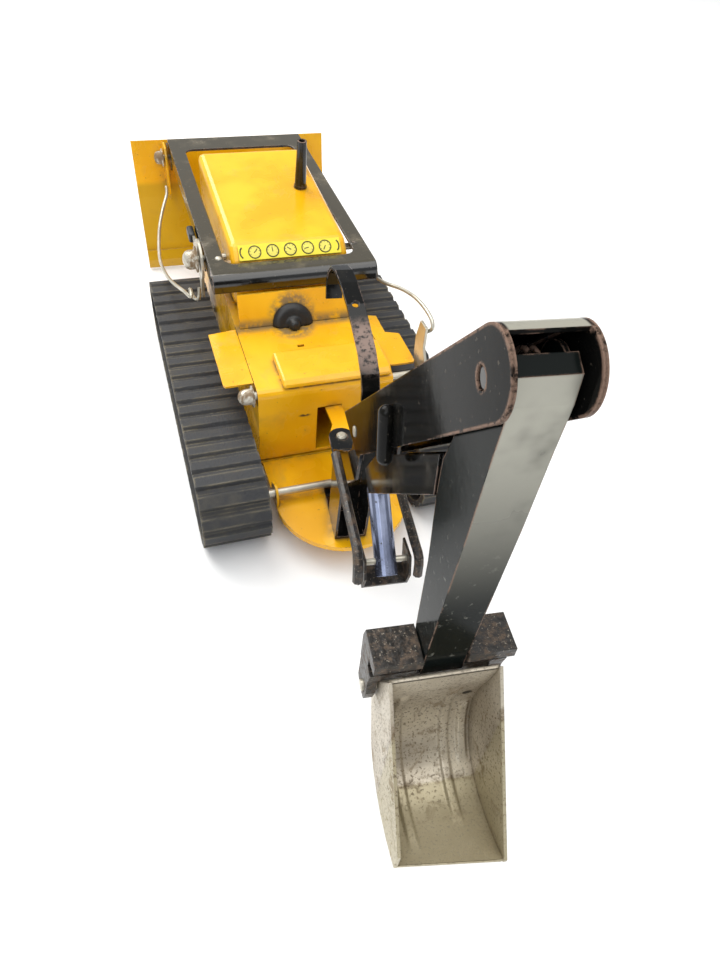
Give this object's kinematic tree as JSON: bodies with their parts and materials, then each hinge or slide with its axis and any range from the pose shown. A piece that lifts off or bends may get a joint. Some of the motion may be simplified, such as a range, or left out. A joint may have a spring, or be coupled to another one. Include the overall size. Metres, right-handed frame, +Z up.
{
  "type": "toy crawler bulldozer with backhoe",
  "caption": "Pressed-steel toy crawler bulldozer with a lifting blade, ribbed rubber tracks and a swinging backhoe arm with a bucket on its tail.",
  "frame": {"origin": "on the floor under the middle of the whole object", "axes": "+Y forward towards the blade, +X to the right seen from behind, +Z up"},
  "size_m": [0.14, 0.4607, 0.2112],
  "materials": {
    "yellow": "gloss enamel",
    "black": "gloss enamel",
    "zinc": "zinc plated, aged",
    "rubber": "matt",
    "vinyl": "soft vinyl",
    "dial": "printed label"
  },
  "bodies": {
    "body": {"body_shell": "yellow", "chassis_pan": "yellow", "tail_plate": "yellow", "swing_tab": "yellow", "seat_box": "yellow", "bulkhead": "yellow", "hood": "yellow", "dial_strip": "dial", "exhaust_stack": "black", "rubber_button": "vinyl", "left_fender": "yellow", "right_fender": "yellow", "left_track": "rubber", "right_track": "rubber", "frame_pivot_rod": "zinc", "left_frame_nut": "zinc", "right_frame_nut": "zinc"},
    "front_axle": {"front_axle": "zinc", "left_front_wheel": "black", "right_front_wheel": "black"},
    "rear_axle": {"rear_axle": "zinc", "left_rear_wheel": "black", "right_rear_wheel": "black"},
    "push_frame": {"push_frame": "black", "left_blade_pin": "zinc", "right_blade_pin": "zinc", "left_blade_nut": "zinc", "right_blade_nut": "zinc"},
    "blade": {"blade": "yellow"},
    "tilt_lever": {"tilt_lever": "zinc", "lever_grip": "vinyl"},
    "tilt_wire": {"tilt_wire": "zinc"},
    "lift_shaft": {"cross_shaft": "zinc", "cross_shaft_nut": "zinc", "lift_crank": "zinc", "lift_crank_nut": "zinc"},
    "lift_wire": {"lift_wire": "zinc"},
    "mast": {"swing_mast": "black", "kingpin_foot": "zinc", "kingpin_head": "zinc", "boom_pin": "zinc"},
    "boom": {"boom": "black", "elbow_pin": "black", "strap_lever": "black", "link_channel": "black", "left_side_rod": "black", "right_side_rod": "black", "strut_tube": "black", "bracket": "black", "bracket_pin": "zinc"},
    "dipper": {"dipper": "black", "yoke": "black", "bucket_pin": "zinc"},
    "bucket": {"bucket": "zinc"}
  },
  "joints": [
    {"name": "front_axle_spin", "type": "hinge", "parent": "body", "child": "front_axle", "pos_m": [0, 0.11566, 0.02], "axis": [1, 0, 0], "continuous": true},
    {"name": "rear_axle_spin", "type": "hinge", "parent": "body", "child": "rear_axle", "pos_m": [0, -0.04334, 0.02], "axis": [1, 0, 0], "continuous": true},
    {"name": "frame_lift", "type": "hinge", "parent": "body", "child": "push_frame", "pos_m": [0, 0.07566, 0.0785], "axis": [1, 0, 0], "range_deg": [-1, 7]},
    {"name": "blade_tilt", "type": "hinge", "parent": "push_frame", "child": "blade", "pos_m": [0, 0.21766, 0.0715], "axis": [1, 0, 0], "range_deg": [-6, 10]},
    {"name": "tilt_lever_turn", "type": "hinge", "parent": "body", "child": "tilt_lever", "pos_m": [-0.0445, 0.07566, 0.0785], "axis": [1, 0, 0], "range_deg": [-12, 12]},
    {"name": "tilt_wire_swing", "type": "hinge", "parent": "push_frame", "child": "tilt_wire", "pos_m": [-0.0469, 0.20966, 0.056], "axis": [1, 0, 0], "range_deg": [-3, 3]},
    {"name": "lift_shaft_turn", "type": "hinge", "parent": "body", "child": "lift_shaft", "pos_m": [0, -0.01264, 0.056], "axis": [1, 0, 0], "range_deg": [-15, 15]},
    {"name": "lift_wire_swing", "type": "hinge", "parent": "push_frame", "child": "lift_wire", "pos_m": [0.0448, 0.04566, 0.0755], "axis": [1, 0, 0], "range_deg": [-3, 3]},
    {"name": "swing", "type": "hinge", "parent": "body", "child": "mast", "pos_m": [0.00045, -0.04037, 0], "axis": [0, 0, 1], "range_deg": [-35, 45]},
    {"name": "boom_lift", "type": "hinge", "parent": "mast", "child": "boom", "pos_m": [-0.00594, -0.0965, 0.1045], "axis": [0.9936, -0.1132, 0], "range_deg": [-20, 18]},
    {"name": "dipper_swing", "type": "hinge", "parent": "boom", "child": "dipper", "pos_m": [-0.01572, -0.18235, 0.1983], "axis": [0.9936, -0.1132, 0], "range_deg": [-42, 1]},
    {"name": "bucket_curl", "type": "hinge", "parent": "dipper", "child": "bucket", "pos_m": [-0.01557, -0.18096, 0.0795], "axis": [0.9936, -0.1132, 0], "range_deg": [0, 55]}
  ],
  "couplings": [
    {"joint": "tilt_lever_turn", "follows": "blade_tilt", "ratio": 1}
  ]
}
